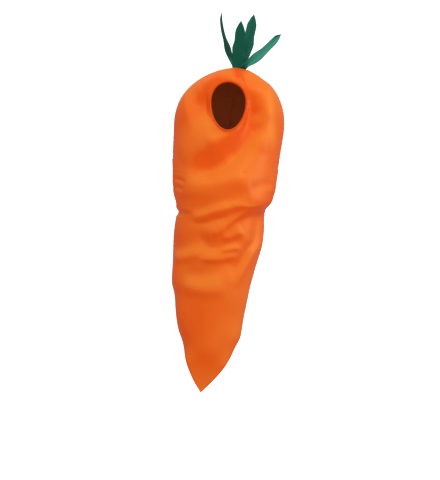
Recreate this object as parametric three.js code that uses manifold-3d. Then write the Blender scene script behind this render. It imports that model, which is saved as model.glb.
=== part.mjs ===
// A carrot costume: a tube of foam-backed orange satin that is worn over the head, with four green leaves.
// It is drawn filled out and hanging, as when it is worn. Millimetres, +Z up, the front faces -Y.
// The origin is inside the top of the hood, where the costume hangs from the top of the head.
import * as THREE from "three";
import { mergeVertices } from "three/addons/utils/BufferGeometryUtils.js";
import Module from "manifold-3d";

const wasm = await Module();
wasm.setup();

// Driving dimensions
const wall = 8; // satin, foam and lining, bonded together
const crownHeight = 260; // how far the rounded hood reaches down
const length = 1409; // from crown to tip
const seamEnd = 1166; // below this drop the side seams are open for the legs
const seamGap = 0.3;
const seamHold = 0.3; // how near the side seams, as a cosine, the folds begin to die away
const squaring = { most: 0.35, from: 760, to: 1160 }; // the section grows squarer between these drops
const hemSpread = { power: 0.85, start: 0.5 }; // how soon the front and back stand apart below seamEnd
const crownShift = 10; // the crown leans towards +X
const crownPower = 2.4; // together with crownRound, how round the crown is from the front
const crownRound = 0.62;
const brow = 4.6; // how steeply the front and back rise before they turn in to the top seam

// The body's sections: drop below the crown, left edge, right edge, front depth, back depth
const sections = [
  [crownHeight, -240, 241, 172, 150],
  [400, -231, 234, 179, 150],
  [500, -227, 238, 177, 146],
  [556, -213, 222, 172, 140],
  [598, -189, 196, 166, 131],
  [642, -178, 196, 160, 126],
  [670, -188, 198, 156, 126],
  [740, -191, 198, 151, 128],
  [870, -182, 177, 145, 129],
  [945, -178, 165, 139, 123],
  [1012, -158, 158, 131, 119],
  [1080, -146, 151, 124, 114],
  [1150, -128, 147, 119, 111],
  [1212, -100, 125, 115, 109],
  [1280, -79, 96, 104, 100],
  [1349, -44, 49, 95, 92],
  [length, -3, 1, 88, 86],
];
const [dropColumn, leftColumn, rightColumn, frontColumn, backColumn] = [0, 1, 2, 3, 4];

// Face opening, in the front panel
const face = { x: -12, drop: 182, halfWidth: 80, halfHeight: 109, egg: 0.12, lean: -0.045 };
const faceDip = { depth: 24, atTop: 1.1, atChin: 0, reach: 0.85, power: 1.6, seamReach: 70 };

// Armholes, across the side seams
const armhole = { drop: 515, halfHeight: 95, halfDepth: 52 };

const binding = { width: 6, proud: 1.6, gap: 0.3 };

// Folds of the cloth: path is a line of [x, drop], left to right, or top to bottom with "below" on its left.
// rise is the fold's height, less than 0 for a valley; above and below are its half-widths
const foldFade = { share: 0.35, past: 0.4 }; // how much of its length a fold takes to die away at an end
const frontFolds = [
  { path: [[-150, 486], [-42, 464], [47, 385], [140, 245]], rise: -30, above: 66, below: 56 },
  { path: [[-150, 560], [-50, 500], [60, 482], [120, 505]], rise: 7, above: 38, below: 36 },
  { path: [[-112, 632], [-2, 587], [100, 560]], rise: -11, above: 50, below: 24 },
  { path: [[-30, 722], [32, 686], [88, 630], [205, 568]], rise: 13, above: 26, below: 20 },
  { path: [[15, 726], [72, 674], [104, 650], [196, 620]], rise: -15, above: 24, below: 34 },
  { path: [[-60, 786], [55, 762], [104, 742]], rise: -10, above: 38, below: 24 },
  { path: [[-192, 806], [-100, 774], [-45, 750]], rise: -12, above: 56, below: 28 },
  { path: [[-125, 905], [-20, 893], [45, 855], [80, 824]], rise: -15, above: 48, below: 34 },
  { path: [[-120, 955], [0, 966], [84, 912]], rise: 9, above: 46, below: 26 },
  { path: [[168, 630], [160, 748], [118, 820], [84, 905]], rise: -13, above: 22, below: 26 },
  { path: [[60, 596], [165, 574], [222, 550]], rise: 11, above: 56, below: 20 },
  { path: [[-225, 632], [-165, 628], [-100, 640]], rise: 12, above: 80, below: 24 },
  { path: [[130, 60], [158, 250], [154, 350]], rise: 14, above: 28, below: 40 },
  { path: [[-172, 194], [-84, 170]], rise: -20, above: 62, below: 70 },
  { path: [[52, 158], [140, 214]], rise: -16, above: 58, below: 44 },
];
const backFolds = [
  { path: [[-170, 560], [-60, 585], [60, 592], [175, 548]], rise: -17, above: 42, below: 28 },
  { path: [[-165, 520], [0, 545], [170, 505]], rise: 9, above: 40, below: 30 },
  { path: [[-170, 700], [30, 664], [120, 640]], rise: -13, above: 40, below: 26 },
  { path: [[-90, 800], [40, 826], [150, 812]], rise: -12, above: 40, below: 30 },
];

// Centre-back opening, closed by hook and loop patches on a placket
const closure = { firstRow: 10, lastRow: 23, halfWidth: 28 }; // rows of the back, counted from the crown
const patchRows = [11, 15, 19, 22];
const patchThickness = 1.2;
const placketThickness = 2;

// Leaves, sewn into a slot in the crown
const slot = { x: 17, halfLength: 30, halfWidth: 9.2, height: 80 };
const leafThickness = 5;
const leafRootDepth = 20; // how far the roots reach below the crown
// root is [x, y] in the slot; path is the three points that draw the blade's line from the crown, the last
// one its tip; twist, in degrees, turns the blade about that line, and ends at tipTwist; cup is how far its
// edges bend forwards; waist, upper and shoulder are its widths above the root, at the upper lobe and
// below the tip: waist and upper as shares of the lower lobe, shoulder as a share of the upper one; late
// over 1 moves its widest part towards the tip
const leaves = [
  {
    name: "leaf_centre",
    root: [14, 0],
    rootHalf: 25,
    half: 31,
    path: [[13, 0, 60], [5, -8, 130], [5, -16, 206]],
    twist: 5,
    tipTwist: 5,
    cup: 5,
    waist: 0.84,
    upper: 0.7,
    shoulder: 0.6,
    late: 1,
  },
  {
    name: "leaf_right",
    root: [30, -6.2],
    rootHalf: 12,
    half: 30,
    path: [[50, -22, 16], [116, -44, 58], [183, -46, 160]],
    twist: 60,
    tipTwist: 46,
    cup: 4,
    waist: 0.5,
    upper: 0.84,
    shoulder: 0.72,
    late: 1.3,
  },
  {
    name: "leaf_mid_right",
    root: [26, 6],
    rootHalf: 14,
    half: 28,
    path: [[34, 9, 60], [52, 20, 150], [58, 22, 248]],
    twist: -4,
    tipTwist: -8,
    cup: -5,
    waist: 0.74,
    upper: 0.76,
    shoulder: 0.64,
    late: 1.2,
  },
  {
    name: "leaf_left",
    root: [-1, 6],
    rootHalf: 10,
    half: 25,
    path: [[-14, 34, 55], [-76, 46, 152], [-83, 44, 243]],
    twist: 76,
    tipTwist: 69,
    cup: 4,
    waist: 0.7,
    upper: 0.85,
    shoulder: 0.5,
    late: 1,
  },
];

// Half-width along a leaf, as shares of its widest half-width
const rootShare = 0.84;
const leafShares = ({ waist, upper, shoulder }) => [
  [0, rootShare],
  [0.16, waist],
  [0.3, (1 + waist) / 2],
  [0.45, 1],
  [0.62, 0.44 * (1 + upper)],
  [0.78, upper],
  [0.9, shoulder * upper],
  [1, 0],
];

const satin = new THREE.MeshStandardMaterial({ color: 0xe8681f, roughness: 0.45, metalness: 0 });
const trim = new THREE.MeshStandardMaterial({ color: 0xd9581a, roughness: 0.6, metalness: 0 });
const lining = new THREE.MeshStandardMaterial({ color: 0xdf7a3c, roughness: 0.85, metalness: 0 });
const tape = new THREE.MeshStandardMaterial({ color: 0xe6e2da, roughness: 0.9, metalness: 0 });
const leafSatin = new THREE.MeshStandardMaterial({ color: 0x1f5f48, roughness: 0.5, metalness: 0 });

function smoothStep(t) {
  const u = Math.min(1, Math.max(0, t));
  return u * u * (3 - 2 * u);
}

// A smooth curve through the points [t, value] that never overshoots them
function smoothThrough(points, t) {
  const last = points.length - 1;
  if (t <= points[0][0]) return points[0][1];
  if (t >= points[last][0]) return points[last][1];
  const k = points.findIndex((p) => p[0] > t) - 1;
  const slope = (i) => (points[i + 1][1] - points[i][1]) / (points[i + 1][0] - points[i][0]);
  const tangent = (i) => {
    if (i === 0) return slope(0);
    if (i === last) return slope(last - 1);
    const [before, after] = [slope(i - 1), slope(i)];
    return before * after <= 0 ? 0 : (2 * before * after) / (before + after);
  };
  const span = points[k + 1][0] - points[k][0];
  const u = (t - points[k][0]) / span;
  const [u2, u3] = [u * u, u * u * u];
  return (
    (2 * u3 - 3 * u2 + 1) * points[k][1] +
    (u3 - 2 * u2 + u) * span * tangent(k) +
    (3 * u2 - 2 * u3) * points[k + 1][1] +
    (u3 - u2) * span * tangent(k + 1)
  );
}

const columnPoints = (column) => sections.map((row) => [row[dropColumn], row[column]]);
const outline = {
  left: columnPoints(leftColumn),
  right: columnPoints(rightColumn),
  front: columnPoints(frontColumn),
  back: columnPoints(backColumn),
};

// The tube's section at a drop below the crown: middle, half-width, depths, and how far the open edges of
// its front and back stand apart
function sectionAt(drop) {
  const inCrown = Math.max(0, 1 - drop / crownHeight);
  const round = Math.pow(Math.max(0, 1 - Math.pow(inCrown, crownPower)), crownRound);
  const deep = Math.sqrt(Math.max(0, 1 - Math.pow(inCrown, brow)));
  const at = (points) => smoothThrough(points, Math.max(drop, crownHeight));
  const [left, right] = [at(outline.left), at(outline.right)];
  const opening = Math.max(0, (drop - seamEnd) / (length - seamEnd));
  return {
    middle: (left + right) / 2 + crownShift * inCrown * inCrown,
    half: (round * (right - left)) / 2,
    front: deep * at(outline.front),
    back: deep * at(outline.back),
    flatness: 1 - squaring.most * smoothStep((drop - squaring.from) / (squaring.to - squaring.from)),
    opening,
    apart:
      Math.pow(Math.sin((Math.PI / 2) * opening), hemSpread.power) * smoothStep(opening / hemSpread.start),
  };
}

// A point of the unfolded tube. turn is the angle from the front centre, positive towards +X
function tubePoint(turn, drop, isFront) {
  const s = sectionAt(drop);
  const depth = isFront ? s.front : s.back;
  const edge = depth * s.apart;
  const y = edge + (depth - edge) * Math.pow(Math.abs(Math.cos(turn)), s.flatness);
  return new THREE.Vector3(s.middle + s.half * Math.sin(turn), isFront ? -y : y, wall - drop);
}

function tubeNormal(turn, drop, isFront) {
  if (drop < 0.5) return new THREE.Vector3(0, 0, 1);
  const [dTurn, dDrop] = [0.0002, 0.5];
  const inward = turn > (isFront ? 0 : Math.PI) ? -1 : 1; // stays on one panel at a seam
  const here = tubePoint(turn, drop, isFront);
  const across = tubePoint(turn + inward * dTurn, drop, isFront).sub(here).multiplyScalar(inward);
  const below = Math.min(drop + dDrop, length);
  const down = tubePoint(turn, below, isFront).sub(tubePoint(turn, below - 2 * dDrop, isFront));
  const normal = down.cross(across).normalize();
  const flat = new THREE.Vector3(0, isFront ? -1 : 1, 0);
  const { opening } = sectionAt(drop);
  return opening >= 1 ? flat : normal.lerp(flat, opening).normalize();
}

// The fold's height at a place, from the nearest stretch of its path
function foldRise({ path, rise, above, below }, x, drop) {
  const nearest = { away: Infinity, across: 0, along: 0 };
  let run = 0;
  for (let i = 0; i + 1 < path.length; i++) {
    const stretch = new THREE.Vector2(path[i + 1][0] - path[i][0], path[i + 1][1] - path[i][1]);
    const reach = stretch.length();
    stretch.normalize();
    const place = new THREE.Vector2(x - path[i][0], drop - path[i][1]);
    const along = place.dot(stretch);
    const held = THREE.MathUtils.clamp(along, 0, reach);
    const away = place.clone().addScaledVector(stretch, -held).length();
    if (away < nearest.away)
      Object.assign(nearest, { away, across: stretch.cross(place) < 0 ? -away : away, along: run + along });
    run += reach;
  }
  const spread = nearest.across < 0 ? above : below;
  const fade = foldFade.share * run;
  const { past } = foldFade;
  const ends = smoothStep(nearest.along / fade + past) * smoothStep((run - nearest.along) / fade + past);
  return rise * ends * Math.exp(-Math.pow(nearest.away / spread, 2));
}

function foldsAt(turn, x, drop, isFront) {
  const folds = isFront ? frontFolds : backFolds;
  const offSeam = smoothStep(Math.abs(Math.cos(turn)) / seamHold);
  return folds.reduce((sum, fold) => sum + foldRise(fold, x, drop), 0) * offSeam;
}

// The hood is drawn in around the face
function faceDipAt({ x, y }, drop) {
  if (y >= 0) return 0;
  const up = face.drop - drop;
  const out = Math.max(0, Math.hypot((x - face.x) / face.halfWidth, up / face.halfHeight) - 1);
  const end = up > 0 ? faceDip.atTop : faceDip.atChin;
  const share = 1 - (1 - end) * smoothStep(Math.abs(up) / face.halfHeight);
  const offSeam = 1 - Math.exp(-Math.pow(y / faceDip.seamReach, 2));
  return faceDip.depth * share * offSeam * Math.exp(-Math.pow(out / faceDip.reach, faceDip.power));
}

// A point of the folded surface, raised by lift from the outer face, on the panel that isFront names
function bodyPoint(turn, drop, lift, isFront) {
  const place = tubePoint(turn, drop, isFront);
  const normal = tubeNormal(turn, drop, isFront);
  const rise = foldsAt(turn, place.x, drop, isFront);
  const dip = faceDipAt(place, drop);
  return place.addScaledVector(normal, rise + lift).add(new THREE.Vector3(0, dip, 0));
}

// One closed sheet between two grids of points, outer and inner, of the same rows and columns.
// Rows run down and columns run so that the outer grid is seen from outside
function sheetBetween(outer, inner) {
  const [rows, columns] = [outer.length, outer[0].length];
  const places = [...outer.flat(), ...inner.flat()];
  const indices = [];
  const at = (layer, r, c) => layer * rows * columns + r * columns + c;
  const triangle = (a, b, c) => {
    const [pa, pb, pc] = [places[a], places[b], places[c]];
    const tiny = 1e-4;
    const sides = [pa.distanceTo(pb), pb.distanceTo(pc), pc.distanceTo(pa)];
    if (Math.min(...sides) > tiny) indices.push(a, b, c);
  };
  const quad = (a, b, c, d) => {
    triangle(a, b, c);
    triangle(a, c, d);
  };
  for (let r = 0; r + 1 < rows; r++)
    for (let c = 0; c + 1 < columns; c++) {
      quad(at(0, r, c), at(0, r + 1, c), at(0, r + 1, c + 1), at(0, r, c + 1));
      const [p, q, s, t] = [at(1, r, c), at(1, r + 1, c), at(1, r + 1, c + 1), at(1, r, c + 1)];
      triangle(p, s, q);
      triangle(p, t, s);
    }
  for (let r = 0; r + 1 < rows; r++) {
    quad(at(0, r, 0), at(1, r, 0), at(1, r + 1, 0), at(0, r + 1, 0));
    const e = columns - 1;
    quad(at(0, r, e), at(0, r + 1, e), at(1, r + 1, e), at(1, r, e));
  }
  for (let c = 0; c + 1 < columns; c++) {
    quad(at(0, 0, c), at(0, 0, c + 1), at(1, 0, c + 1), at(1, 0, c));
    const e = rows - 1;
    quad(at(0, e, c), at(1, e, c), at(1, e, c + 1), at(0, e, c + 1));
  }
  const geometry = new THREE.BufferGeometry().setFromPoints(places);
  geometry.setIndex(indices);
  return mergeVertices(geometry, 1e-4);
}

function solidOf(geometry) {
  const bare = geometry.clone();
  bare.deleteAttribute("normal");
  bare.deleteAttribute("uv");
  const merged = mergeVertices(bare, 1e-4);
  return new wasm.Manifold(
    new wasm.Mesh({
      numProp: 3,
      vertProperties: merged.attributes.position.array,
      triVerts: new Uint32Array(merged.index.array),
    }),
  );
}

function geometryOf(solid) {
  const mesh = solid.getMesh();
  const places = new Float32Array(mesh.numVert * 3);
  for (let i = 0; i < mesh.numVert; i++)
    places.set(mesh.vertProperties.subarray(i * mesh.numProp, i * mesh.numProp + 3), i * 3);
  return new THREE.BufferGeometry()
    .setAttribute("position", new THREE.BufferAttribute(places, 3))
    .setIndex(new THREE.BufferAttribute(mesh.triVerts, 1));
}

const group = new THREE.Group();
function add(name, geometry, material) {
  const mesh = new THREE.Mesh(geometry, material);
  mesh.name = name;
  group.add(mesh);
}

// Egg outline of the face opening, grown outwards by grow, as points [x, drop]
function facePoint(angle, grow) {
  const up = Math.sin(angle);
  const across = Math.cos(angle) * (face.halfWidth + grow) * (1 + face.egg * up);
  const rise = up * (face.halfHeight + grow);
  return [face.x + across + face.lean * rise, face.drop - rise];
}

function armholePoint(angle, grow) {
  return [
    Math.cos(angle) * (armhole.halfDepth + grow),
    armhole.drop - Math.sin(angle) * (armhole.halfHeight + grow),
  ];
}

// A prism of an opening's outline: along Y for the face, along X for an armhole
function facePrism(grow, steps = 32) {
  const shape = new THREE.Shape();
  for (let i = 0; i < steps; i++) {
    const [x, drop] = facePoint((2 * Math.PI * i) / steps, grow);
    if (i) shape.lineTo(x, wall - drop);
    else shape.moveTo(x, wall - drop);
  }
  const reach = 260;
  const prism = new THREE.ExtrudeGeometry(shape, { depth: reach, bevelEnabled: false });
  return solidOf(prism.rotateX(Math.PI / 2)); // extrudes towards -Y
}

function armholePrism(side, grow, steps = 24) {
  const shape = new THREE.Shape();
  for (let i = 0; i < steps; i++) {
    const [y, drop] = armholePoint((2 * Math.PI * i) / steps, grow);
    if (i) shape.lineTo(y, wall - drop);
    else shape.moveTo(y, wall - drop);
  }
  const [from, reach] = [90, 220];
  const prism = new THREE.ExtrudeGeometry(shape, { depth: reach, bevelEnabled: false });
  // it extrudes towards this side
  prism.translate(0, 0, from).rotateX(Math.PI / 2).rotateZ((side * Math.PI) / 2);
  return solidOf(prism);
}

function slotBox() {
  const box = new THREE.BoxGeometry(2 * slot.halfLength, 2 * slot.halfWidth, slot.height);
  return solidOf(box.translate(slot.x, 0, 0));
}

// Drops of the grid rows, from start through stretches of [end, count]
function rowDrops(start, stretches) {
  const drops = [start];
  for (const [to, count] of stretches) {
    const from = drops[drops.length - 1];
    for (let i = 1; i <= count; i++) drops.push(from + ((to - from) * i) / count);
  }
  return drops;
}
const crownRows = [[9, 1], [27, 1], [54, 1]]; // close together on the round top
const chestTop = 330;
const chestEnd = 640;
const backSplit = 638;
const closureEnd = 946;
const hoodRows = rowDrops(0, [...crownRows, [chestTop, 9]]);
const chestRows = rowDrops(chestTop, [[530, 5], [chestEnd, 6]]);
const skirtRows = rowDrops(chestEnd, [[700, 4], [930, 7], [seamEnd, 4], [1280, 3], [length, 4]]);
const backUpperRows = rowDrops(0, [...crownRows, [chestTop, 7], [backSplit, 7]]);
const backLowerRows = rowDrops(backSplit, [[closureEnd, 7], [seamEnd, 3], [1280, 3], [length, 3]]);
const backRows = [...backUpperRows, ...backLowerRows.slice(1)];

function shiftedToPanel(point, isFront) {
  return point.add(new THREE.Vector3(0, ((isFront ? -1 : 1) * seamGap) / 2, 0));
}

// A stretch of a panel, from its first to its last row, with the turns of each row given by turnsAt
function bodySheet(rows, isFront, turnsAt) {
  const [first, last] = [rows[0], rows[rows.length - 1]];
  const trimmed = rows.map((drop) => {
    if (drop === first && first > 0) return drop + seamGap / 2;
    return drop === last && last < length ? drop - seamGap / 2 : drop;
  });
  const place = (turn, drop, lift) => shiftedToPanel(bodyPoint(turn, drop, lift, isFront), isFront);
  const grid = (lift) => trimmed.map((drop) => turnsAt(drop).map((turn) => place(turn, drop, lift)));
  return solidOf(sheetBetween(grid(0), grid(-wall)));
}

function frontTurns() {
  const columns = 20;
  return Array.from({ length: columns + 1 }, (_, c) => -Math.PI / 2 + (Math.PI * c) / columns);
}
function frontHood() {
  return geometryOf(bodySheet(hoodRows, true, frontTurns).subtract(facePrism(0)).subtract(slotBox()));
}
const frontSkirt = () => geometryOf(bodySheet(skirtRows, true, frontTurns));
function frontChest() {
  const sheet = bodySheet(chestRows, true, frontTurns);
  return geometryOf(sheet.subtract(armholePrism(1, 0)).subtract(armholePrism(-1, 0)));
}

// Angle of a back point at x, seen from the front centre round the +X side
function backTurn(x, drop) {
  const s = sectionAt(drop);
  const share = s.half < 1e-6 ? 0 : Math.max(-1, Math.min(1, (x - s.middle) / s.half));
  return Math.PI - Math.asin(share);
}

// The turns of one half of the back: the first ones lie at fixed distances from the centre line
const strip = [seamGap / 2, closure.halfWidth / 2, closure.halfWidth];
function backTurns(side, drop) {
  const columns = 7;
  const nearest = Math.min(1, (sectionAt(drop).half * 0.5) / closure.halfWidth);
  const fixed = strip.map((x) => backTurn(side * x * nearest, drop));
  const inner = fixed[fixed.length - 1];
  const seam = side > 0 ? Math.PI / 2 : (3 * Math.PI) / 2;
  const outer = Array.from({ length: columns }, (_, c) => inner + ((seam - inner) * (c + 1)) / columns);
  const turns = [...fixed, ...outer];
  return side > 0 ? turns.reverse() : turns;
}
function backUpper(side) {
  const sheet = bodySheet(backUpperRows, false, (drop) => backTurns(side, drop));
  return geometryOf(sheet.subtract(armholePrism(side, 0)).subtract(slotBox()));
}
const backLower = (side) => geometryOf(bodySheet(backLowerRows, false, (drop) => backTurns(side, drop)));

// A band round an opening: a slightly thicker sheet, cut to the ring between two outlines
function faceBinding() {
  const [columns, rows] = [10, 8];
  const grid = (lift) =>
    Array.from({ length: rows + 1 }, (_, r) =>
      Array.from({ length: columns + 1 }, (_, c) => {
        const turn = 0.5 * (-1 + (2 * c) / columns);
        const drop = 46 + (256 * r) / rows;
        return bodyPoint(turn, drop, lift, true);
      }),
    );
  const sheet = solidOf(sheetBetween(grid(binding.proud), grid(-wall - binding.proud)));
  const [outer, inner] = [facePrism(-binding.gap), facePrism(-binding.width)];
  return geometryOf(sheet.intersect(outer).subtract(inner));
}

function armholeBinding(side) {
  const [columns, rows] = [6, 6];
  const grid = (lift) =>
    Array.from({ length: rows + 1 }, (_, r) =>
      Array.from({ length: columns + 1 }, (_, c) => {
        const turn = side * (Math.PI / 2) + 0.5 * (-1 + (2 * c) / columns);
        const drop = armhole.drop + 110 * (-1 + (2 * r) / rows);
        const isFront = Math.cos(turn) >= 0;
        return bodyPoint(turn < -Math.PI / 2 ? turn + 2 * Math.PI : turn, drop, lift, isFront);
      }),
    );
  const sheet = solidOf(sheetBetween(grid(binding.proud), grid(-wall - binding.proud)));
  const [outer, inner] = [armholePrism(side, -binding.gap), armholePrism(side, -binding.width)];
  return geometryOf(sheet.intersect(outer).subtract(inner));
}

// A sheet inside the back at fixed distances from the centre line, on the back panels' own rows
function backSheet(xs, firstRow, lastRow, outerLift, innerLift) {
  const rows = backRows.slice(firstRow, lastRow + 1);
  const grid = (lifts) =>
    rows.map((drop) =>
      xs.map((x, i) => shiftedToPanel(bodyPoint(backTurn(x, drop), drop, lifts[i], false), false)).reverse(),
    );
  return sheetBetween(grid(outerLift), grid(innerLift));
}

const clear = 0.3;
const loopLift = -wall - clear;
const hookLift = loopLift - patchThickness - clear;
const placketLift = hookLift - patchThickness - clear;

function placket() {
  const { halfWidth } = closure;
  const xs = [-halfWidth, -halfWidth / 2, -3, 0.15, halfWidth / 2, halfWidth];
  const outer = xs.map((x) => (x < -1 ? loopLift : placketLift));
  const inner = xs.map(() => placketLift - placketThickness);
  return backSheet(xs, closure.firstRow, closure.lastRow, outer, inner);
}

function patch(row, lift) {
  const xs = [closure.halfWidth / 2 - 10, closure.halfWidth / 2, closure.halfWidth - 3];
  const lifts = xs.map(() => lift);
  return backSheet(xs, row, row + 1, lifts, xs.map(() => lift - patchThickness));
}

// One row of a leaf's two faces, across its line at place
function leafRow({ place, tangent, turn, halfWidth, cup, thickness }) {
  const right = new THREE.Vector3(1, 0, 0).addScaledVector(tangent, -tangent.x).normalize();
  const out = new THREE.Vector3().crossVectors(right, tangent).normalize(); // towards the front
  const wide = right.clone().multiplyScalar(Math.cos(turn)).addScaledVector(out, Math.sin(turn));
  const facing = new THREE.Vector3().crossVectors(wide, tangent).normalize();
  const shares = [-1, -0.5, 0, 0.5, 1];
  const middles = shares.map((v) =>
    place.clone().addScaledVector(wide, v * halfWidth).addScaledVector(facing, cup * v * v),
  );
  const halves = shares.map((v) => (thickness * (1 - 0.5 * v * v)) / 2); // thinner towards the edges
  const face = (way) => middles.map((m, i) => m.clone().addScaledVector(facing, way * halves[i]));
  return [face(1), face(-1)];
}

// A leaf: a thin cupped blade along a curve from its root in the slot to its tip
function leaf({ root, rootHalf, half, path, twist, tipTwist, cup, late, ...lobes }) {
  const atCrown = ([x, y, z]) => new THREE.Vector3(x, y, wall + z);
  const start = atCrown([...root, 0]);
  const curve = new THREE.CubicBezierCurve3(start, ...path.map(atCrown));
  const widen = 0.34; // the share of the length over which the blade widens and turns
  const shares = leafShares(lobes);
  const upright = new THREE.Vector3(0, 0, 1);
  const sewnIn = { tangent: upright, turn: 0, halfWidth: rootHalf, cup: 0, thickness: leafThickness };
  const below = start.clone().setZ(start.z - leafRootDepth);
  const rows = [leafRow({ ...sewnIn, place: below }), leafRow({ ...sewnIn, place: start })];
  const steps = 15;
  for (let i = 1; i <= steps; i++) {
    const t = i / steps;
    const eased = smoothStep(t / widen);
    const widest = half * eased + (rootHalf / rootShare) * (1 - eased);
    rows.push(
      leafRow({
        place: curve.getPoint(t),
        tangent: curve.getTangent(t),
        turn: THREE.MathUtils.degToRad(twist * eased + (tipTwist - twist) * smoothStep((t - widen) / 0.4)),
        halfWidth: Math.max(0.8, smoothThrough(shares, t ** late) * widest),
        cup: cup * eased,
        thickness: leafThickness * (1 - 0.55 * t * t),
      }),
    );
  }
  rows.reverse();
  return sheetBetween(rows.map(([front]) => front), rows.map(([, back]) => back));
}

add("front_panel_hood", frontHood(), satin);
add("front_panel_chest", frontChest(), satin);
add("front_panel_skirt", frontSkirt(), satin);
add("back_panel_right_upper", backUpper(1), satin);
add("back_panel_left_upper", backUpper(-1), satin);
add("back_panel_right_lower", backLower(1), satin);
add("back_panel_left_lower", backLower(-1), satin);
add("face_binding", faceBinding(), trim);
add("armhole_binding_right", armholeBinding(1), trim);
add("armhole_binding_left", armholeBinding(-1), trim);
add("back_placket", placket(), lining);
patchRows.forEach((row, i) => {
  add(`loop_patch_${i + 1}`, patch(row, loopLift), tape);
  add(`hook_patch_${i + 1}`, patch(row, hookLift), tape);
});
for (const one of leaves) add(one.name, leaf(one), leafSatin);

export default group;
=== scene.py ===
import math

import bpy
import numpy as np
from mathutils import Matrix, Vector, noise


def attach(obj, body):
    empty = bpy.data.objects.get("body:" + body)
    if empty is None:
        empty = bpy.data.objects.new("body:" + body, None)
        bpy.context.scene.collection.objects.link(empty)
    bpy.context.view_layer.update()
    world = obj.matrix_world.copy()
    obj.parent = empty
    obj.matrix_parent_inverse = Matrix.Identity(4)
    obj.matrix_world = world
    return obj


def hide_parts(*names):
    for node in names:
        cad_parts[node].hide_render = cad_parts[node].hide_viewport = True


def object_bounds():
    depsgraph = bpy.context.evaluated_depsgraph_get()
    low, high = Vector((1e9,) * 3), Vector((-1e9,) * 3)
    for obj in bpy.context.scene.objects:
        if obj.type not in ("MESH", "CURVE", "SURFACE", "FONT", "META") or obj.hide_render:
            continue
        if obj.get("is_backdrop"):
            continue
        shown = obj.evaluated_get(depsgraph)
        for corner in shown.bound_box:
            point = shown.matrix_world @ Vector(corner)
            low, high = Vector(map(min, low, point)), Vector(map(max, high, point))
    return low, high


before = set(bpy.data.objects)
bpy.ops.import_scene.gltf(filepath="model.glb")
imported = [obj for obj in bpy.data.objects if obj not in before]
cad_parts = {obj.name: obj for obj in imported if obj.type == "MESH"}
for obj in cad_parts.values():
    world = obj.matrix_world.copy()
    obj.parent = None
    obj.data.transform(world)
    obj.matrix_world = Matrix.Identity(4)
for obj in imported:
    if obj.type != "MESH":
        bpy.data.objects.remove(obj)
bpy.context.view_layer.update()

# The body's cut, in millimetres: drop below the crown, left edge, right edge, front depth, back depth
sections = np.array(
    [
        [260, -240, 241, 172, 150],
        [400, -231, 234, 179, 150],
        [500, -227, 238, 177, 146],
        [556, -213, 222, 172, 140],
        [598, -189, 196, 166, 131],
        [642, -178, 196, 160, 126],
        [670, -188, 198, 156, 126],
        [740, -191, 198, 151, 128],
        [870, -182, 177, 145, 129],
        [945, -178, 165, 139, 123],
        [1012, -158, 158, 131, 119],
        [1080, -146, 151, 124, 114],
        [1150, -128, 147, 119, 111],
        [1212, -100, 125, 115, 109],
        [1280, -79, 96, 104, 100],
        [1349, -44, 49, 95, 92],
        [1409, -1, -1, 88, 86],
    ],
    dtype=float,
)
body = {
    "wall": 8.0,  # thickness of the padded satin
    "crownHeight": 260.0,
    "crownShift": 10.0,
    "crownPower": 2.4,  # a rounder or more pointed crown
    "crownRound": 0.62,
    "brow": 4.6,  # how steeply the front and back rise before they turn in to the top seam
    "seamEnd": 1166.0,  # the side seams are open below this drop
    "squaring": 0.35,  # how much squarer the section grows between these two drops
    "squaringFrom": 760.0,
    "squaringTo": 1160.0,
    "hemPower": 0.85,  # how fast the front and back stand apart below seamEnd
    "hemStart": 0.5,
    "length": 1409.0,
    "rows": 330,  # fineness of the cloth
    "columns": 168,
    "foldDepth": 1.0,  # 0 irons the costume flat
    "wander": 2.2,  # height of the slow unevenness of the padding
    "pucker": 0.5,  # height of the small gathers along the seams
    "hemRound": 7.0,  # how far in from the free hems the padding is rounded off
    "sheetGap": 0.15,  # how far the front and the back each stand off the side seams' plane
}
faceHole = {
    "x": -12.0,
    "drop": 182.0,
    "halfWidth": 80.0,
    "halfHeight": 109.0,
    "egg": 0.12,  # how much wider it is above than below
    "lean": -0.045,
    "meanRadius": 85.0,
    "turnIn": 5.0,  # how far the cloth reaches in under the binding
}
# The hollow in which the face opening lies
faceDip = {"depth": 24.0, "atTop": 1.1, "atChin": 0.0, "reach": 0.85, "power": 1.6, "seamReach": 70.0}
armhole = {"drop": 515.0, "halfHeight": 95.0, "halfDepth": 52.0, "meanRadius": 60.0, "turnIn": 4.0}
farAway = 99.0  # beyond the reach of any seam


# A fold of the cloth along path, its (x, drop) points in mm from left to right, or from top to bottom with
# its "below" on the left. rise is its height, less than 0 for a valley; above and below are its
# half-widths; sharp is 2 for a round fold and nearer 1 for a creased one; fade is the share of its length
# over which it dies away at each end; sag is how far it hangs down over what is below it
def fold(rise, above, below, path, sharp=2.0, fade=0.3, sag=0.0):
    return dict(rise=rise, above=above, below=below, path=path, sharp=sharp, fade=fade, sag=sag)


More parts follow.
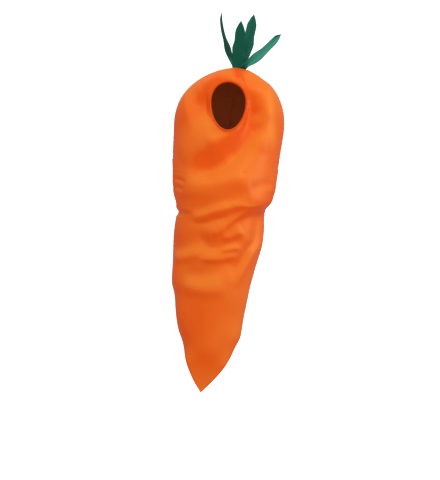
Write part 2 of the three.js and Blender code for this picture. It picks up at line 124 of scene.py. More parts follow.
frontFolds = [
    # the chest
    fold(
        -34, 78, 52,
        [(-125, 470), (-65, 460), (-16, 438), (31, 400), (66, 356), (98, 298), (131, 246), (147, 216)],
    ),
    fold(-7, 52, 26, [(20, 408), (66, 356), (98, 298), (128, 250)]),
    fold(5, 60, 40, [(-185, 420), (-110, 372), (-55, 335)]),
    fold(7, 24, 36, [(-75, 345), (0, 312), (55, 270)]),
    # the waist
    fold(7, 38, 36, [(-150, 560), (-100, 522), (-50, 500), (0, 488), (60, 482), (120, 505)]),
    fold(
        -6, 46, 24,
        [(-112, 632), (-90, 625), (-52, 612), (-2, 587), (50, 569), (100, 560)],
        sharp=1.9, fade=0.45,
    ),
    fold(8, 20, 22, [(-105, 668), (-60, 648), (-15, 628), (30, 612), (62, 600), (98, 583)], sharp=1.8),
    fold(-6, 20, 20, [(-105, 694), (-55, 686), (-10, 669), (30, 653), (62, 636), (98, 608)], sharp=1.7),
    fold(
        9, 28, 22,
        [(-30, 722), (5, 710), (32, 686), (58, 658), (88, 630), (125, 606), (165, 590), (205, 568)],
        sharp=1.9, sag=3,
    ),
    fold(-7, 26, 36, [(15, 726), (45, 698), (72, 674), (104, 650), (150, 634), (196, 620)], sharp=1.9),
    fold(7, 36, 18, [(20, 738), (60, 730), (104, 702)], sharp=1.8),
    # the belly
    fold(-9, 38, 22, [(-60, 786), (5, 780), (55, 762), (104, 742)], sharp=1.9),
    fold(3, 16, 10, [(25, 798), (60, 785), (98, 775)]),
    fold(-2.5, 12, 16, [(25, 806), (60, 799), (98, 792)]),
    fold(6, 22, 15, [(-60, 838), (-10, 835), (40, 828), (78, 812)], sharp=1.8),
    fold(-11, 48, 36, [(-125, 905), (-60, 906), (-20, 893), (20, 877), (45, 855), (80, 824)], sharp=1.9),
    fold(7, 46, 32, [(-120, 955), (-60, 968), (0, 966), (50, 952)], sharp=1.9),
    # the sides below the waist
    fold(-10, 56, 30, [(-192, 806), (-145, 792), (-100, 774), (-45, 750)], sharp=1.9),
    fold(6, 26, 20, [(-172, 850), (-115, 835), (-70, 812)]),
    fold(
        -9, 18, 26,
        [(168, 630), (166, 700), (160, 748), (138, 778), (118, 820), (98, 862), (84, 905)],
        sharp=1.8,
    ),
    fold(
        6, 20, 18,
        [(186, 640), (190, 700), (184, 750), (160, 786), (144, 828), (122, 872), (104, 930)],
        sharp=1.8,
    ),
    # the edges, at the waist and beside the armholes
    fold(-6, 11, 16, [(-207, 640), (-184, 646), (-162, 660)], sharp=1.7),
    fold(14, 80, 22, [(-225, 632), (-165, 628), (-100, 640)], sharp=1.8, fade=0.5),
    fold(11, 56, 16, [(60, 596), (112, 590), (165, 574), (222, 550)], sharp=1.8, fade=0.7),
    fold(-4, 10, 10, [(-208, 508), (-160, 520)], sharp=1.7),
    fold(-4, 10, 10, [(-208, 540), (-163, 552)], sharp=1.7),
    fold(-6, 28, 22, [(118, 522), (165, 506), (208, 486)]),
    fold(-2.5, 11, 11, [(74, 458), (96, 466)]),
    # the hood and the crown
    fold(13, 32, 40, [(130, 60), (152, 150), (158, 250), (154, 350)], sharp=1.7),
    fold(6, 12, 14, [(44, 14), (80, 30), (114, 48)]),
    fold(-12, 42, 20, [(0, 58), (22, 66), (44, 58)], sharp=1.9),
    fold(-31, 58, 74, [(-176, 192), (-135, 182), (-84, 166)], fade=0.6),
    fold(-18, 58, 44, [(52, 158), (95, 192), (140, 214)], fade=0.5),
]
backFolds = [
    fold(-24, 46, 28, [(-170, 560), (-60, 585), (60, 592), (175, 548)], sharp=1.7),
    fold(9, 40, 30, [(-165, 520), (0, 545), (170, 505)], sag=8),
    fold(-17, 44, 26, [(-170, 700), (-60, 690), (30, 664), (120, 640)], sharp=1.7),
    fold(-15, 44, 30, [(-90, 800), (40, 826), (150, 812)], sharp=1.8),
    fold(-8, 60, 50, [(-140, 400), (-20, 430), (130, 390)]),
    fold(8, 34, 34, [(-150, 880), (-60, 900), (60, 880)]),
    fold(-6, 16, 16, [(-172, 620), (-120, 640)], sharp=1.7),
    fold(-6, 18, 16, [(120, 700), (172, 690)], sharp=1.7),
]
# Painted shade on the satin, or painted highlight for a rise below 0, with the same widths and paths as
# folds
paintedShadingStrokes = [
    # painted shade along the chest's diagonal, a painted highlight on the hood's right and painted shade on
    # its upper left
    fold(0.8, 34, 36, [(-140, 446), (-81, 424), (2, 358), (60, 300), (117, 238)]),
    fold(-0.6, 17, 20, [(150, 95), (172, 190), (190, 290), (196, 340)]),
    fold(0.45, 45, 45, [(-190, 290), (-160, 194), (-115, 115), (-60, 62)]),
    # painted highlights on the right edge below the waist and on the lowest fold of the belly, painted shade
    # down the middle of the long point
    fold(-0.4, 24, 28, [(180, 690), (160, 910), (133, 1141), (96, 1273)]),
    fold(-0.2, 30, 26, [(-120, 944), (-40, 952), (40, 942)]),
    fold(0.3, 90, 80, [(-40, 1000), (-20, 1160), (0, 1330)]),
]
# Painted shade on the satin where the cloth is drawn in tight: beside the face opening, further at its right
# and left, and under the leaves, at (x, drop)
paintedShadePlaces = {
    "reach": 9.0,
    "moreAtRight": 27.0,
    "moreAtLeft": 20.0,
    "leavesAt": (18.0, 26.0),
    "leavesReach": (26.0, 30.0),
    "underLeaves": 1.4,
}
# How far the cloth is thinned and gathered beside what is sewn, and how strong the gathers are there
sewing = {
    "thinBySeam": 6.0,
    "thinByOpening": 12.0,
    "gatherBySeam": 20.0,
    "gatherByFace": 16.0,
    "gatherByArm": 20.0,
    "faceGathers": 1.4,
    "armGathers": 1.6,
    "gatherPitch": 3.4,
    "thinned": 0.55,  # the share of the thickness that sewing takes away
    "flattened": 0.75,  # the share of a fold's height that the face opening takes away
}


# A smooth curve through points that never overshoots them, as a function of an array
def smoothCurve(xs, ys):
    xs, ys = np.asarray(xs, float), np.asarray(ys, float)
    slope = np.diff(ys) / np.diff(xs)
    tangent = np.zeros(len(xs))
    tangent[0], tangent[-1] = slope[0], slope[-1]
    for i in range(1, len(xs) - 1):
        a, b = slope[i - 1], slope[i]
        tangent[i] = 0 if a * b <= 0 else 2 * a * b / (a + b)

    def at(t):
        t = np.clip(t, xs[0], xs[-1])
        k = np.clip(np.searchsorted(xs, t, side="right") - 1, 0, len(xs) - 2)
        span = xs[k + 1] - xs[k]
        u = (t - xs[k]) / span
        u2, u3 = u * u, u**3
        return (
            (2 * u3 - 3 * u2 + 1) * ys[k]
            + (u3 - 2 * u2 + u) * span * tangent[k]
            + (3 * u2 - 2 * u3) * ys[k + 1]
            + (u3 - u2) * span * tangent[k + 1]
        )

    return at


outline = [smoothCurve(sections[:, 0], sections[:, i]) for i in range(1, 5)]


def sectionAt(drop):
    inCrown = np.clip(1 - drop / body["crownHeight"], 0, None)
    roundness = np.clip(1 - inCrown ** body["crownPower"], 0, None) ** body["crownRound"]
    deep = np.sqrt(np.clip(1 - inCrown ** body["brow"], 0, None))
    low = np.maximum(drop, body["crownHeight"])
    left, right, front, back = [f(low) for f in outline]
    opening = np.clip((drop - body["seamEnd"]) / (body["length"] - body["seamEnd"]), 0, 1)
    squarer = smoothStep((drop - body["squaringFrom"]) / (body["squaringTo"] - body["squaringFrom"]))
    return {
        "middle": (left + right) / 2 + body["crownShift"] * inCrown**2,
        "half": roundness * (right - left) / 2,
        "front": deep * front,
        "back": deep * back,
        "flatness": 1 - body["squaring"] * squarer,
        "opening": opening,
        "apart": np.sin(np.pi / 2 * opening) ** body["hemPower"] * smoothStep(opening / body["hemStart"]),
    }


# The unfolded tube. turn is the angle from the front centre, positive towards +X
def tubePoint(turn, drop, isFront):
    s = sectionAt(drop)
    depth = np.where(isFront, s["front"], s["back"])
    edge = depth * s["apart"]
    x = s["middle"] + s["half"] * np.sin(turn)
    y = edge + (depth - edge) * np.abs(np.cos(turn)) ** s["flatness"]
    return np.stack([x, np.where(isFront, -y, y), body["wall"] - drop], -1)


def unit(v):
    return v / np.maximum(np.linalg.norm(v, axis=-1, keepdims=True), 1e-9)


def tubeNormal(turn, drop, isFront):
    inward = np.where(turn > np.where(isFront, 0, np.pi), -1.0, 1.0)
    here = tubePoint(turn, drop, isFront)
    across = (tubePoint(turn + inward * 0.004, drop, isFront) - here) * inward[..., None]
    below = np.minimum(drop + 0.5, body["length"])
    down = tubePoint(turn, below, isFront) - tubePoint(turn, below - 1, isFront)
    normal = unit(np.cross(down, across))
    opening = sectionAt(drop)["opening"][..., None]
    flat = np.stack([np.zeros_like(turn), np.where(isFront, -1.0, 1.0), np.zeros_like(turn)], -1)
    normal = unit(normal * (1 - opening) + flat * opening)
    normal[drop < 0.5] = (0, 0, 1)
    return normal


def roundedPath(path, steps=6):
    pts = [np.array(p, float) for p in path]
    pts = [2 * pts[0] - pts[1]] + pts + [2 * pts[-1] - pts[-2]]
    out = []
    for i in range(1, len(pts) - 2):
        p0, p1, p2, p3 = pts[i - 1 : i + 3]
        for k in range(steps):
            t = k / steps
            bend = (2 * p0 - 5 * p1 + 4 * p2 - p3) * t**2 + (3 * p1 - p0 - 3 * p2 + p3) * t**3
            out.append(0.5 * (2 * p1 + (p2 - p0) * t + bend))
    return np.array(out + [pts[-2]])


def smoothStep(t):
    t = np.clip(t, 0, 1)
    return t * t * (3 - 2 * t)


# How much a fold lifts each point, from 0 to 1
def foldShare(crease, x, drop):
    pts = roundedPath(crease["path"])
    runs = np.linalg.norm(np.diff(pts, axis=0), axis=1)
    total, before = runs.sum(), np.concatenate([[0], np.cumsum(runs)])
    best = np.full(x.shape, 1e12)
    signed, along = np.zeros(x.shape), np.zeros(x.shape)
    for i, run in enumerate(runs):
        t = (pts[i + 1] - pts[i]) / run
        px, pd = x - pts[i][0], drop - pts[i][1]
        s = px * t[0] + pd * t[1]
        clamped = np.clip(s, 0, run)
        dist = np.hypot(px - clamped * t[0], pd - clamped * t[1])
        side = -px * t[1] + pd * t[0]
        near = dist < best
        best = np.where(near, dist, best)
        signed = np.where(near, np.where(side < 0, -dist, dist), signed)
        over = np.where((i == 0) & (s < 0), s, 0) + np.where((i == len(runs) - 1) & (s > run), s - run, 0)
        along = np.where(near, before[i] + clamped + over, along)
    width = np.where(signed < 0, crease["above"], crease["below"])
    fade = crease["fade"] * total
    ends = smoothStep((along + fade * 0.4) / fade) * smoothStep((total + fade * 0.4 - along) / fade)
    return np.exp(-((np.abs(signed) / width) ** crease["sharp"])) * ends


# Distances from the edges of the openings, less than 0 inside them
def fromFaceEdge(x, drop):
    rise = faceHole["drop"] - drop
    up = np.clip(rise / faceHole["halfHeight"], -1, 1)
    across = x - faceHole["x"] - faceHole["lean"] * rise
    halfWidth = faceHole["halfWidth"] * (1 + faceHole["egg"] * up)
    return (np.hypot(across / halfWidth, rise / faceHole["halfHeight"]) - 1) * faceHole["meanRadius"]


def fromArmEdge(y, drop):
    down = (drop - armhole["drop"]) / armhole["halfHeight"]
    return (np.hypot(y / armhole["halfDepth"], down) - 1) * armhole["meanRadius"]


# How much painted shade darkens the satin at each point, less where painted highlights lighten it
def paintedShadingAt(x, drop):
    angle = np.arctan2(faceHole["drop"] - drop, x - faceHole["x"])
    right = smoothStep((np.cos(angle - 0.1) - 0.3) / 0.5)
    left = smoothStep((np.cos(angle - 2.65) - 0.4) / 0.45)
    reach = paintedShadePlaces["reach"] + paintedShadePlaces["moreAtRight"] * right + paintedShadePlaces["moreAtLeft"] * left
    away = np.abs(fromFaceEdge(x, drop))
    across = (x - paintedShadePlaces["leavesAt"][0]) / paintedShadePlaces["leavesReach"][0]
    down = (drop - paintedShadePlaces["leavesAt"][1]) / paintedShadePlaces["leavesReach"][1]
    underLeaves = paintedShadePlaces["underLeaves"] * np.exp(-(across**2) - down**2)
    shadingMask = np.exp(-((away / reach) ** 1.6)) + underLeaves
    return shadingMask + sum(stroke["rise"] * foldShare(stroke, x, drop) for stroke in paintedShadingStrokes)


def faceDipAt(p, drop):
    up = faceHole["drop"] - drop
    across = (p[..., 0] - faceHole["x"]) / faceHole["halfWidth"]
    out = np.clip(np.hypot(across, up / faceHole["halfHeight"]) - 1, 0, None)
    end = np.where(up > 0, faceDip["atTop"], faceDip["atChin"])
    share = 1 - (1 - end) * smoothStep(np.abs(up) / faceHole["halfHeight"])
    offSeam = 1 - np.exp(-((p[..., 1] / faceDip["seamReach"]) ** 2))
    dip = faceDip["depth"] * share * offSeam * np.exp(-((out / faceDip["reach"]) ** faceDip["power"]))
    return np.where(p[..., 1] < 0, dip, 0)


def noiseAt(points, scale, seed):
    flat = points.reshape(-1, 3) * scale
    values = [noise.noise(Vector((p[0] + seed, p[1] - seed, p[2]))) for p in flat]
    return np.array(values).reshape(points.shape[:-1])


# The cloth's own shape: unfolded tube, then folds, seams and unevenness. squeeze is how much of the thinning
# by a seam or a binding each point has
def clothAt(turn, drop, isFront, rough=True):
    base = tubePoint(turn, drop, isFront)
    normal = tubeNormal(turn, drop, isFront)
    x = base[..., 0]
    window = smoothStep(np.abs(np.cos(turn)) / 0.22)
    lift, sag = np.zeros(x.shape), np.zeros(x.shape)
    for folds, mask in ((frontFolds, isFront), (backFolds, ~isFront)):
        if not mask.any():
            continue
        for crease in folds:
            share = np.where(mask, foldShare(crease, x, drop), 0) * body["foldDepth"]
            lift += share * crease["rise"] * window
            sag += share * crease["sag"] * window
    fromFace = np.where(isFront, np.abs(fromFaceEdge(x, drop)), farAway)
    lift *= 1 - sewing["flattened"] * np.exp(-((fromFace / sewing["gatherByFace"]) ** 2))
    centre = base + normal * (lift - body["wall"] / 2)[..., None]
    centre[..., 1] += faceDipAt(base, drop)
    centre[..., 2] -= sag
    if rough:
        centre += normal * (noiseAt(base, 1 / 130, 3.1) * body["wander"] * window)[..., None]
    fromSeam = np.where(drop < body["seamEnd"], np.abs(base[..., 1]), farAway)
    fromArm = fromArmEdge(base[..., 1], drop)
    fromArm = np.where((fromArm > -20) & (np.abs(base[..., 1]) < 120), np.abs(fromArm), farAway)
    squeeze = np.exp(-((fromSeam / sewing["thinBySeam"]) ** 2))
    for away in (fromFace, fromArm):
        squeeze = np.maximum(squeeze, np.exp(-((away / sewing["thinByOpening"]) ** 2)))
    if rough:
        gathers = np.exp(-fromSeam / sewing["gatherBySeam"]) * (fromSeam > 0.5)
        gathers += sewing["faceGathers"] * np.exp(-fromFace / sewing["gatherByFace"])
        gathers += sewing["armGathers"] * np.exp(-fromArm / sewing["gatherByArm"])
        along = np.where(fromFace < 60, np.arctan2(faceHole["drop"] - drop, x - faceHole["x"]) * 90, drop)
        ripple = np.sin(along / sewing["gatherPitch"] + 2.5 * noiseAt(base, 1 / 40, 8.7))
        centre += normal * (ripple * gathers * body["pucker"])[..., None]
    return centre, normal, squeeze


def stageLine(text):
    print("carrot costume:", text)


def meshObject(name, verts, faces, materials, slotOf=None, uvs=None, scale=0.001):
    mesh = bpy.data.meshes.new(name)
    mesh.from_pydata((np.asarray(verts) * scale).tolist(), [], faces)
    if uvs is not None:
        layer = mesh.uv_layers.new(name="weave")
        corner = np.empty(len(mesh.loops), int)
        mesh.loops.foreach_get("vertex_index", corner)
        layer.data.foreach_set("uv", (np.asarray(uvs)[corner] * scale).ravel())
    for m in materials:
        mesh.materials.append(m)
    if slotOf is not None:
        mesh.polygons.foreach_set("material_index", np.asarray(slotOf, dtype=np.int32))
    mesh.polygons.foreach_set("use_smooth", np.ones(len(mesh.polygons), bool))
    mesh.validate()
    mesh.update()
    obj = bpy.data.objects.new(name, mesh)
    bpy.context.scene.collection.objects.link(obj)
    return obj


# Outer and inner skins of the same grid, joined all round their borders and round the holes in keep
def paddedSheet(name, outer, inner, uv, keep, materials, paintedShading=None):
    rows, cols = outer.shape[:2]
    index = np.arange(rows * cols).reshape(rows, cols)
    quads = np.stack([index[:-1, :-1], index[1:, :-1], index[1:, 1:], index[:-1, 1:]], -1).reshape(-1, 4)
    quads = quads[keep.ravel()]
    edges = {}
    for q in quads.tolist():
        for a, b in zip(q, q[1:] + q[:1]):
            if (b, a) in edges:
                del edges[(b, a)]
            else:
                edges[(a, b)] = True
    shift = rows * cols
    border = [[b, a, a + shift, b + shift] for a, b in edges]
    faces = quads.tolist() + (quads[:, ::-1] + shift).tolist() + border
    slotOf = [0] * len(quads) + [1] * len(quads) + [0] * len(border)
    verts = np.concatenate([outer.reshape(-1, 3), inner.reshape(-1, 3)])
    used = np.zeros(len(verts), bool)
    used[np.unique(np.array([v for f in faces for v in f]))] = True
    renumber = np.cumsum(used) - 1
    faces = [[int(renumber[v]) for v in f] for f in faces]
    uvs = np.concatenate([uv.reshape(-1, 2)] * 2)[used]
    obj = meshObject(name, verts[used], faces, materials, slotOf, uvs)
    # the painted shading, kept as an attribute on both skins for the satin's colour
    if paintedShading is not None:
        layer = obj.data.attributes.new("paintedShading", "FLOAT", "POINT")
        layer.data.foreach_set("value", np.concatenate([paintedShading.ravel()] * 2)[used].astype(np.float32))
    return obj


# A tube of cloth swept round a closed line. ring is (away from the opening, outwards) in mm, and wave makes
# it thicker and thinner along the line
def sweptBand(name, centres, aways, outs, ring, materials, wave):
    n, m = len(centres), len(ring)
    verts = np.empty((n, m, 3))
    for i in range(n):
        for k, (away, out) in enumerate(ring):
            verts[i, k] = centres[i] + aways[i] * away + outs[i] * out * wave[i]
    faces = []
    for i in range(n):
        j = (i + 1) % n
        for k in range(m):
            after = (k + 1) % m
            faces.append([i * m + k, j * m + k, j * m + after, i * m + after])
    steps = np.linalg.norm(np.diff(centres, axis=0, append=centres[:1]), axis=1)
    length = np.concatenate([[0], np.cumsum(steps)])[:-1]
    girth = np.concatenate([[0], np.cumsum(np.linalg.norm(np.diff(np.array(ring), axis=0), axis=1))])
    uvs = np.stack(np.broadcast_arrays(length[:, None], girth[None, :]), -1).reshape(-1, 2)
    return meshObject(name, verts.reshape(-1, 3), faces, materials, None, uvs)


# Small thread stitches along a line, each one a short rounded rod that dips into the cloth at its ends
def stitchRow(name, points, outs, material, pitch=4.2, length=3.0, radius=0.42, closed=False):
    points, outs = np.asarray(points), np.asarray(outs)
    if closed:
        points, outs = np.vstack([points, points[:1]]), np.vstack([outs, outs[:1]])
    run = np.concatenate([[0], np.cumsum(np.linalg.norm(np.diff(points, axis=0), axis=1))])
    verts, faces = [], []
    sides, stations = 6, np.linspace(-1, 1, 5)
    for s in np.arange(pitch / 2, run[-1], pitch):
        place = np.array([np.interp(s, run, points[:, k]) for k in range(3)])
        ahead = np.array([np.interp(min(s + 1, run[-1]), run, points[:, k]) for k in range(3)])
        behind = np.array([np.interp(max(s - 1, 0), run, points[:, k]) for k in range(3)])
        out = unit(np.array([np.interp(s, run, outs[:, k]) for k in range(3)]))
        along = unit(ahead - behind)
        side = np.cross(along, out)
        first = len(verts)
        for t in stations:
            r = radius * math.sqrt(max(0.05, 1 - t * t * 0.9))
            for k in range(sides):
                a = 2 * math.pi * k / sides
                up = r * math.sin(a) - 0.35 * t * t
                verts.append(place + along * t * length / 2 + side * r * math.cos(a) + out * up)
        for i in range(len(stations) - 1):
            for k in range(sides):
                after = (k + 1) % sides
                a, b = first + i * sides, first + (i + 1) * sides
                faces.append([a + k, a + after, b + after, b + k])
    return meshObject(name, verts, faces, [material])


def nodesOf(material):
    material.use_nodes = True
    tree = material.node_tree
    return tree, tree.nodes["Principled BSDF"]


def mixColour(tree, factor, a, b):
    mix = tree.nodes.new("ShaderNodeMix")
    mix.data_type = "RGBA"
    mix.inputs["A"].default_value = (*a, 1)
    mix.inputs["B"].default_value = (*b, 1)
    tree.links.new(factor, mix.inputs["Factor"])
    return mix.outputs["Result"]


def mapRange(tree, value, low, high, fromLow=0.0, fromHigh=1.0):
    node = tree.nodes.new("ShaderNodeMapRange")
    for name, number in (("From Min", fromLow), ("From Max", fromHigh), ("To Min", low), ("To Max", high)):
        node.inputs[name].default_value = number
    tree.links.new(value, node.inputs["Value"])
    return node.outputs["Result"]


def texture(tree, kind, vector, **sockets):
    node = tree.nodes.new(kind)
    tree.links.new(vector, node.inputs["Vector"])
    for name, number in sockets.items():
        node.inputs[name.replace("_", " ")].default_value = number
    return node


noiseLow, noiseHigh = 0.3, 0.7  # where most of a noise texture's values lie


# Satin: fine ribs along its yarns, a slow drift of colour and gloss, and painted light and shade: its colour
# is painted lighter where the cloth faces up towards the lamps, and darker or lighter by a painted shading
# attribute
def satin(name, look):
    material = bpy.data.materials.new(name)
    tree, shader = nodesOf(material)
    place = tree.nodes.new("ShaderNodeTexCoord")
    where = place.outputs["Object"]
    weave = tree.nodes.new("ShaderNodeUVMap")
    weave.uv_map = "weave"
    slow = texture(tree, "ShaderNodeTexNoise", where, Scale=5.0, Detail=3.0, Roughness=0.5)
    fine = texture(tree, "ShaderNodeTexNoise", where, Scale=260.0, Detail=2.0, Roughness=0.6)
    # painted light: how far the cloth faces up and towards the front, which paints its colour lighter
    paintedLightFacing = tree.nodes.new("ShaderNodeVectorMath")
    paintedLightFacing.operation = "DOT_PRODUCT"
    tree.links.new(place.outputs["Normal"], paintedLightFacing.inputs[0])
    paintedLightFacing.inputs[1].default_value = look["paintedLightFacing"]
    mottle = tree.nodes.new("ShaderNodeMath")
    mottle.operation = "ADD"
    for socket, grain in enumerate((slow, fine)):
        drift = mapRange(tree, grain.outputs["Fac"], -look["mottle"], look["mottle"], noiseLow, noiseHigh)
        tree.links.new(drift, mottle.inputs[socket])
    blend = tree.nodes.new("ShaderNodeMath")
    blend.operation = "ADD"
    # painted shade and highlight, from the shading attribute that the front panel carries
    shadingMask = tree.nodes.new("ShaderNodeAttribute")
    shadingMask.attribute_name = "paintedShading"
    litShare = tree.nodes.new("ShaderNodeMath")
    litShare.operation = "MULTIPLY_ADD"
    litShare.inputs[1].default_value = -look["paintedShadeDepth"]
    tree.links.new(shadingMask.outputs["Fac"], litShare.inputs[0])
    litByFacing = mapRange(tree, paintedLightFacing.outputs["Value"], *look["paintedLightShareSpan"], *look["paintedLightFacingSpan"])
    tree.links.new(litByFacing, litShare.inputs[2])
    tree.links.new(litShare.outputs["Value"], blend.inputs[0])
    tree.links.new(mottle.outputs["Value"], blend.inputs[1])
    colour = mixColour(tree, blend.outputs["Value"], look["deep"], look["light"])
    tree.links.new(colour, shader.inputs["Base Color"])
    dullness = mapRange(tree, slow.outputs["Fac"], *look["roughness"], noiseLow, noiseHigh)
    tree.links.new(dullness, shader.inputs["Roughness"])
    shader.inputs["Specular IOR Level"].default_value = look["specular"]
    shader.inputs["Specular Tint"].default_value = (*look["shine"], 1)
    shader.inputs["Sheen Weight"].default_value = look["sheen"]
    shader.inputs["Sheen Roughness"].default_value = 0.45
    shader.inputs["Sheen Tint"].default_value = (*look["sheenTint"], 1)
    yarns = weave.outputs["UV"]
    across = texture(tree, "ShaderNodeTexWave", yarns, Scale=look["ribs"], Distortion=0.6, Detail=1.0)
    down = texture(tree, "ShaderNodeTexWave", yarns, Scale=look["ribs"] * 0.7, Distortion=0.4, Detail=1.0)
    down.bands_direction = "Y"
    ribs = tree.nodes.new("ShaderNodeMath")
    ribs.operation = "MULTIPLY_ADD"
    tree.links.new(across.outputs["Fac"], ribs.inputs[0])
    ribs.inputs[1].default_value = 0.7
    tree.links.new(down.outputs["Fac"], ribs.inputs[2])
    bump = tree.nodes.new("ShaderNodeBump")
    bump.inputs["Strength"].default_value = look["weaveDepth"]
    bump.inputs["Distance"].default_value = 0.00012
    tree.links.new(ribs.outputs["Value"], bump.inputs["Height"])
    dents = texture(tree, "ShaderNodeTexNoise", where, Scale=38.0, Detail=3.0, Roughness=0.55)
    soft = tree.nodes.new("ShaderNodeBump")
    soft.inputs["Strength"].default_value = look["crumple"]
    soft.inputs["Distance"].default_value = 0.0012
    tree.links.new(dents.outputs["Fac"], soft.inputs["Height"])
    tree.links.new(bump.outputs["Normal"], soft.inputs["Normal"])
    tree.links.new(soft.outputs["Normal"], shader.inputs["Normal"])
    return material


# deep is the satin's colour in painted shade and light its colour in painted light, mixed by how far the
# cloth faces up and towards the front
orangeLook = {
    "deep": (0.79, 0.088, 0.004),
    "light": (0.84, 0.205, 0.022),
    "paintedLightFacing": (0.03, -0.45, 0.88),
    "paintedLightFacingSpan": (0.02, 0.66),
    "paintedLightShareSpan": (0.0, 0.76),
    "paintedShadeDepth": 0.75,  # how much darker the painted shade makes the colour where the cloth is drawn in
    "mottle": 0.08,
    "roughness": (0.38, 0.47),
    "specular": 0.15,
    "shine": (1.0, 0.75, 0.45),
    "sheen": 0.0,
    "sheenTint": (1.0, 0.4, 0.12),
    "ribs": 420.0,
    "weaveDepth": 0.25,
    "crumple": 0.12,
}
# The leaves' painted highlight: the light green is painted where a blade faces up, left and towards the
# front
greenLook = {
    "deep": (0.005, 0.076, 0.044),
    "light": (0.040, 0.25, 0.18),
    "paintedLightFacing": (-0.4, -0.45, 0.8),
    "paintedLightFacingSpan": (0.5, 0.9),
    "paintedLightShareSpan": (0.0, 1.0),
    "paintedShadeDepth": 0.0,
    "mottle": 0.08,
    "roughness": (0.36, 0.48),
    "specular": 0.09,
    "shine": (0.55, 1.0, 0.85),
    "sheen": 0.0,
    "sheenTint": (0.3, 0.9, 0.65),
    "ribs": 420.0,
    "weaveDepth": 0.3,
    "crumple": 0.25,
}
liningLook = dict(
    orangeLook,
    deep=(0.62, 0.16, 0.04),
    light=(0.72, 0.2, 0.055),
    roughness=(0.8, 0.9),
    specular=0.2,
    sheen=0.3,
    ribs=260.0,
    weaveDepth=0.6,
)
tapeLook = dict(
    orangeLook,
    deep=(0.74, 0.13, 0.016),
    light=(0.82, 0.165, 0.022),
    roughness=(0.5, 0.6),
    ribs=300.0,
    weaveDepth=0.5,
)
# A darker copy of the binding's colour: painted shade for the face opening's binding
shadedBindingLook = dict(tapeLook, deep=(0.62, 0.055, 0.003), light=(0.74, 0.09, 0.007), specular=0.08)
placketLook = dict(liningLook, deep=(0.66, 0.19, 0.05), light=(0.76, 0.24, 0.07), ribs=220.0, weaveDepth=0.8)
pileLook = dict(
    liningLook,
    deep=(0.66, 0.62, 0.55),
    light=(0.82, 0.79, 0.73),
    sheenTint=(1, 1, 1),
    sheen=0.5,
    ribs=160.0,
    weaveDepth=1.0,
    crumple=1.0,
)
orangeSatin = satin("orange satin", orangeLook)
liningCloth = satin("lining cloth", liningLook)
orangeTape = satin("orange binding", tapeLook)
shadedFaceBinding = satin("face binding in painted shade", shadedBindingLook)
placketCloth = satin("placket cloth", placketLook)
pileTape = satin("hook and loop tape", pileLook)
greenSatin = satin("green satin", greenLook)
orangeThread = satin("orange thread", dict(tapeLook, deep=(0.7, 0.11, 0.012), light=(0.82, 0.17, 0.03)))
greenThread = satin("green thread", dict(greenLook, deep=(0.006, 0.06, 0.037), light=(0.02, 0.15, 0.1)))


def placed(obj, slot, *nodes, padded=None):
    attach(obj, "root")
    if nodes:
        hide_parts(*nodes)


# Half the cloth's thickness at each point: sewn thin at seams and openings, rounded off at the free hem
def halfThickness(squeeze, fromHem):
    rounded = np.sqrt(np.clip(1 - (1 - np.clip(fromHem / body["hemRound"], 0, 1)) ** 2, 0.04, 1))
    return body["wall"] / 2 * (1 - sewing["thinned"] * squeeze) * rounded


def panel(name, turns, drops, isFront, *nodes):
    turn = np.broadcast_to(turns, (len(drops), len(turns))).copy()
    drop = np.broadcast_to(drops[:, None], turn.shape).copy()
    flag = np.full(turn.shape, isFront)
    centre, normal, squeeze = clothAt(turn, drop, flag)
    s = sectionAt(drop)
    side = np.minimum(np.abs(np.cos(turn)), 1)
    arc = np.arccos(side) * s["half"]
    fromHem = np.where(drop > body["seamEnd"], (np.pi / 2 * s["half"] - arc), farAway)
    fromHem = np.minimum(fromHem, (body["length"] - drop) * 1.2 + 1.5)
    half = halfThickness(squeeze, fromHem)[..., None]
    outer, inner = centre + normal * half, centre - normal * half
    gap = body["sheetGap"] if isFront else -body["sheetGap"]
    outer[..., 1] -= gap
    inner[..., 1] -= gap
    base = tubePoint(turn, drop, flag)
    keep = np.ones(turn.shape, bool)
    if isFront:
        keep &= fromFaceEdge(base[..., 0], drop) > -faceHole["turnIn"]
    keep &= fromArmEdge(base[..., 1], drop) > -armhole["turnIn"]
    keep = keep[:-1, :-1] & keep[1:, :-1] & keep[1:, 1:] & keep[:-1, 1:]
    uv = np.stack([turn * s["half"], -drop], -1)
    # painted shade and highlight for the front's satin colour
    paintedShading = paintedShadingAt(base[..., 0], drop) if isFront else None
    obj = paddedSheet(name, outer, inner, uv, keep, [orangeSatin, liningCloth], paintedShading)
    placed(obj, "orange satin", *nodes, padded=0.55)


stageLine("cutting and folding the panels")
drops = np.linspace(0.6, body["length"] - 1.5, body["rows"] + 1)
frontTurns = np.linspace(-np.pi / 2, np.pi / 2, body["columns"] + 1)
frontNodes = ("front_panel_hood", "front_panel_chest", "front_panel_skirt")
panel("FrontPanel", frontTurns, drops, True, *frontNodes)
backColumns = body["columns"] // 2
for name, low, high, node in (
    ("BackPanelRight", np.pi / 2, np.pi, "back_panel_right"),
    ("BackPanelLeft", np.pi, 3 * np.pi / 2, "back_panel_left"),
):
    turns = np.linspace(low, high, backColumns + 1)
    panel(name, turns, drops, False, node + "_upper", node + "_lower")


# Points of the cloth at given x or y, for what is sewn onto it
def onFront(x, drop):
    s = sectionAt(drop)
    turn = np.arcsin(np.clip((x - s["middle"]) / np.maximum(s["half"], 1e-6), -1, 1))
    return clothAt(turn, drop, np.ones(x.shape, bool), rough=False)


def onBack(x, drop):
    s = sectionAt(drop)
    turn = np.pi - np.arcsin(np.clip((x - s["middle"]) / np.maximum(s["half"], 1e-6), -1, 1))
    return clothAt(turn, drop, np.zeros(x.shape, bool), rough=False)


